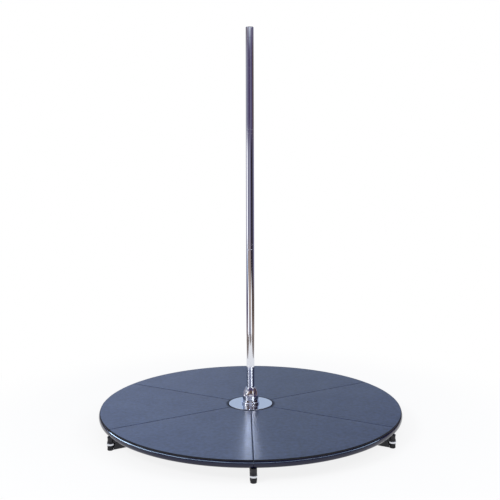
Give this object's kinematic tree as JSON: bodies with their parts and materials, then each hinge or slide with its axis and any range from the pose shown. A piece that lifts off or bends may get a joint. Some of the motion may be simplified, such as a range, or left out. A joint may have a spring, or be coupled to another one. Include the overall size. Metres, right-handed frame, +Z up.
{
  "type": "dance pole",
  "caption": "Free-standing chrome dance pole that spins on bearings in a low round stage of padded boards on radial arms with levelling feet.",
  "frame": {"origin": "on the floor, on the pole's axis, with the levelling feet screwed right in", "axes": "+Z up the pole; the front foot, under the front seam between boards, lies along -Y; +X to the right seen from the front"},
  "size_m": [1.857, 1.869, 2.4658],
  "materials": {
    "leatherette": "fine-grained black leatherette over plywood, slightly blue in soft light",
    "gloss_trim": "glossy black extruded edge trim",
    "black_powder_coat": "satin black powder coat on steel",
    "polished_chrome": "mirror-polished chrome plate",
    "bright_zinc": "bright zinc plate on turned steel",
    "turned_steel": "fine-turned steel",
    "bearing_steel": "ground bearing steel",
    "black_oxide": "oiled black oxide on steel",
    "foot_rubber": "moulded black rubber"
  },
  "bodies": {
    "base": {"hub": "black_powder_coat", "bearing_cap": "turned_steel", "lower_bearing_outer_ring": "bearing_steel", "upper_bearing_outer_ring": "bearing_steel", "arm_1": "black_powder_coat", "arm_bolt_1": "black_oxide", "stage_board_1": "leatherette", "rim_trim_1": "gloss_trim", "arm_2": "black_powder_coat", "arm_bolt_2": "black_oxide", "stage_board_2": "leatherette", "rim_trim_2": "gloss_trim", "arm_3": "black_powder_coat", "arm_bolt_3": "black_oxide", "stage_board_3": "leatherette", "rim_trim_3": "gloss_trim", "arm_4": "black_powder_coat", "arm_bolt_4": "black_oxide", "stage_board_4": "leatherette", "rim_trim_4": "gloss_trim", "arm_5": "black_powder_coat", "arm_bolt_5": "black_oxide", "stage_board_5": "leatherette", "rim_trim_5": "gloss_trim", "arm_6": "black_powder_coat", "arm_bolt_6": "black_oxide", "stage_board_6": "leatherette", "rim_trim_6": "gloss_trim"},
    "pole": {"spindle": "turned_steel", "spindle_nut": "black_oxide", "lower_bearing_inner_ring": "bearing_steel", "upper_bearing_inner_ring": "bearing_steel", "pole_lower_tube": "polished_chrome", "pole_middle_tube": "polished_chrome", "pole_upper_tube": "polished_chrome", "pole_top_plug": "polished_chrome"},
    "lower_ball_cage": {"lower_bearing_ball_cage": "bearing_steel"},
    "upper_ball_cage": {"upper_bearing_ball_cage": "bearing_steel"},
    "spin_lock_left": {"spin_lock_left": "black_oxide"},
    "spin_lock_right": {"spin_lock_right": "black_oxide"},
    "trim_disc": {"trim_disc": "polished_chrome"},
    "dome_cover": {"dome_cover": "polished_chrome"},
    "foot_pad_1": {"foot_pad_1": "foot_rubber"},
    "levelling_stem_1": {"levelling_stem_1": "bright_zinc"},
    "foot_pad_2": {"foot_pad_2": "foot_rubber"},
    "levelling_stem_2": {"levelling_stem_2": "bright_zinc"},
    "foot_pad_3": {"foot_pad_3": "foot_rubber"},
    "levelling_stem_3": {"levelling_stem_3": "bright_zinc"},
    "foot_pad_4": {"foot_pad_4": "foot_rubber"},
    "levelling_stem_4": {"levelling_stem_4": "bright_zinc"},
    "foot_pad_5": {"foot_pad_5": "foot_rubber"},
    "levelling_stem_5": {"levelling_stem_5": "bright_zinc"},
    "foot_pad_6": {"foot_pad_6": "foot_rubber"},
    "levelling_stem_6": {"levelling_stem_6": "bright_zinc"},
    "lower_coupler_front_jaw": {"lower_coupler_front_jaw": "polished_chrome"},
    "lower_coupler_back_jaw": {"lower_coupler_back_jaw": "polished_chrome"},
    "lower_coupler_jack_screw": {"lower_coupler_jack_screw": "black_oxide"},
    "upper_coupler_front_jaw": {"upper_coupler_front_jaw": "polished_chrome"},
    "upper_coupler_back_jaw": {"upper_coupler_back_jaw": "polished_chrome"},
    "upper_coupler_jack_screw": {"upper_coupler_jack_screw": "black_oxide"}
  },
  "joints": [
    {"name": "pole_spin", "type": "hinge", "parent": "base", "child": "pole", "pos_m": [0, 0, 0], "axis": [0, 0, 1], "continuous": true},
    {"name": "lower_cage_spin", "type": "hinge", "parent": "base", "child": "lower_ball_cage", "pos_m": [0, 0, 0.032], "axis": [0, 0, 1], "continuous": true},
    {"name": "upper_cage_spin", "type": "hinge", "parent": "base", "child": "upper_ball_cage", "pos_m": [0, 0, 0.0837], "axis": [0, 0, 1], "continuous": true},
    {"name": "spin_lock_left_screw_in", "type": "slide", "parent": "base", "child": "spin_lock_left", "axis": [1, 0, 0], "range_m": [0, 0.0022]},
    {"name": "spin_lock_right_screw_in", "type": "slide", "parent": "base", "child": "spin_lock_right", "axis": [-1, 0, 0], "range_m": [0, 0.0022]},
    {"name": "trim_disc_lift", "type": "slide", "parent": "base", "child": "trim_disc", "axis": [0, 0, 1], "range_m": [0, 0.15]},
    {"name": "dome_cover_lift", "type": "slide", "parent": "trim_disc", "child": "dome_cover", "axis": [0, 0, 1], "range_m": [0, 0.2]},
    {"name": "foot_1_extend", "type": "slide", "parent": "base", "child": "foot_pad_1", "axis": [0, 0, -1], "range_m": [0, 0.02]},
    {"name": "foot_1_turn", "type": "hinge", "parent": "foot_pad_1", "child": "levelling_stem_1", "pos_m": [0.79241, 0.4575, 0.03], "axis": [0, 0, -1], "range_deg": [0, 3600]},
    {"name": "foot_2_extend", "type": "slide", "parent": "base", "child": "foot_pad_2", "axis": [0, 0, -1], "range_m": [0, 0.02]},
    {"name": "foot_2_turn", "type": "hinge", "parent": "foot_pad_2", "child": "levelling_stem_2", "pos_m": [0, 0.915, 0.03], "axis": [0, 0, -1], "range_deg": [0, 3600]},
    {"name": "foot_3_extend", "type": "slide", "parent": "base", "child": "foot_pad_3", "axis": [0, 0, -1], "range_m": [0, 0.02]},
    {"name": "foot_3_turn", "type": "hinge", "parent": "foot_pad_3", "child": "levelling_stem_3", "pos_m": [-0.79241, 0.4575, 0.03], "axis": [0, 0, -1], "range_deg": [0, 3600]},
    {"name": "foot_4_extend", "type": "slide", "parent": "base", "child": "foot_pad_4", "axis": [0, 0, -1], "range_m": [0, 0.02]},
    {"name": "foot_4_turn", "type": "hinge", "parent": "foot_pad_4", "child": "levelling_stem_4", "pos_m": [-0.79241, -0.4575, 0.03], "axis": [0, 0, -1], "range_deg": [0, 3600]},
    {"name": "foot_5_extend", "type": "slide", "parent": "base", "child": "foot_pad_5", "axis": [0, 0, -1], "range_m": [0, 0.02]},
    {"name": "foot_5_turn", "type": "hinge", "parent": "foot_pad_5", "child": "levelling_stem_5", "pos_m": [0, -0.915, 0.03], "axis": [0, 0, -1], "range_deg": [0, 3600]},
    {"name": "foot_6_extend", "type": "slide", "parent": "base", "child": "foot_pad_6", "axis": [0, 0, -1], "range_m": [0, 0.02]},
    {"name": "foot_6_turn", "type": "hinge", "parent": "foot_pad_6", "child": "levelling_stem_6", "pos_m": [0.79241, -0.4575, 0.03], "axis": [0, 0, -1], "range_deg": [0, 3600]},
    {"name": "lower_coupler_front_jaw_release", "type": "slide", "parent": "pole", "child": "lower_coupler_front_jaw", "axis": [0, 1, 0], "range_m": [0, 0.00075]},
    {"name": "lower_coupler_back_jaw_release", "type": "slide", "parent": "pole", "child": "lower_coupler_back_jaw", "axis": [0, -1, 0], "range_m": [0, 0.00075]},
    {"name": "lower_coupler_jack_screw_turn", "type": "hinge", "parent": "lower_coupler_front_jaw", "child": "lower_coupler_jack_screw", "pos_m": [0, 0, 1.0916], "axis": [0, 1, 0], "range_deg": [0, 360]},
    {"name": "upper_coupler_front_jaw_release", "type": "slide", "parent": "pole", "child": "upper_coupler_front_jaw", "axis": [0, 1, 0], "range_m": [0, 0.00075]},
    {"name": "upper_coupler_back_jaw_release", "type": "slide", "parent": "pole", "child": "upper_coupler_back_jaw", "axis": [0, -1, 0], "range_m": [0, 0.00075]},
    {"name": "upper_coupler_jack_screw_turn", "type": "hinge", "parent": "upper_coupler_front_jaw", "child": "upper_coupler_jack_screw", "pos_m": [0, 0, 1.8112], "axis": [0, 1, 0], "range_deg": [0, 360]}
  ],
  "couplings": [
    {"joint": "lower_cage_spin", "follows": "pole_spin", "ratio": 0.4143},
    {"joint": "upper_cage_spin", "follows": "pole_spin", "ratio": 0.4143},
    {"joint": "foot_1_turn", "follows": "foot_1_extend", "rad_per_m": 3141.6},
    {"joint": "foot_2_turn", "follows": "foot_2_extend", "rad_per_m": 3141.6},
    {"joint": "foot_3_turn", "follows": "foot_3_extend", "rad_per_m": 3141.6},
    {"joint": "foot_4_turn", "follows": "foot_4_extend", "rad_per_m": 3141.6},
    {"joint": "foot_5_turn", "follows": "foot_5_extend", "rad_per_m": 3141.6},
    {"joint": "foot_6_turn", "follows": "foot_6_extend", "rad_per_m": 3141.6},
    {"joint": "lower_coupler_back_jaw_release", "follows": "lower_coupler_front_jaw_release", "ratio": 1},
    {"joint": "lower_coupler_jack_screw_turn", "follows": "lower_coupler_front_jaw_release", "rad_per_m": 8377.5},
    {"joint": "upper_coupler_back_jaw_release", "follows": "upper_coupler_front_jaw_release", "ratio": 1},
    {"joint": "upper_coupler_jack_screw_turn", "follows": "upper_coupler_front_jaw_release", "rad_per_m": 8377.5}
  ]
}
